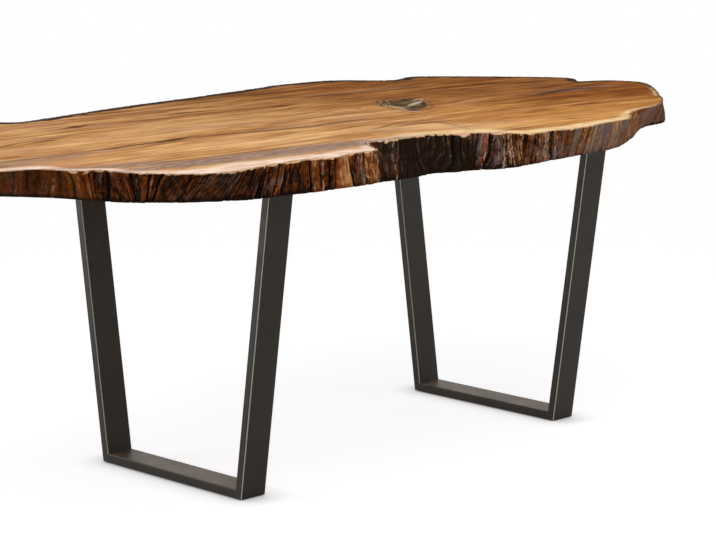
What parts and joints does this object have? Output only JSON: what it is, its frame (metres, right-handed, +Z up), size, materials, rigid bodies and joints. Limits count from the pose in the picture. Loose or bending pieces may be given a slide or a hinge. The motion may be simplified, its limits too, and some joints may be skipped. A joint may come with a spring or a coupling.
{
  "type": "live edge dining table",
  "caption": "Long natural-edge wooden slab dining table with its bark left on the rim, standing on leaning trapezoid frames of flat steel tube bolted underneath.",
  "frame": {"origin": "on the floor, below the middle of the slab's length and width", "axes": "+X along the slab towards its right end, +Y across it towards the back edge, +Z up"},
  "size_m": [2.1999, 1.0879, 0.752],
  "materials": {
    "slab_wood": "oiled hardwood, satin, dark bark on the edge",
    "frame_steel": "dark bronze satin coating",
    "zinc_hardware": "zinc plated",
    "insert_brass": "plain turned",
    "pad_rubber": "matt"
  },
  "bodies": {
    "root": {"slab_top": "slab_wood", "left_front_post": "frame_steel", "left_rear_post": "frame_steel", "left_floor_rail": "frame_steel", "left_mounting_plate": "frame_steel", "left_bolts": "zinc_hardware", "left_washers": "zinc_hardware", "left_inserts": "insert_brass", "left_floor_pads": "pad_rubber", "right_front_post": "frame_steel", "right_rear_post": "frame_steel", "right_floor_rail": "frame_steel", "right_mounting_plate": "frame_steel", "right_bolts": "zinc_hardware", "right_washers": "zinc_hardware", "right_inserts": "insert_brass", "right_floor_pads": "pad_rubber"}
  },
  "joints": []
}
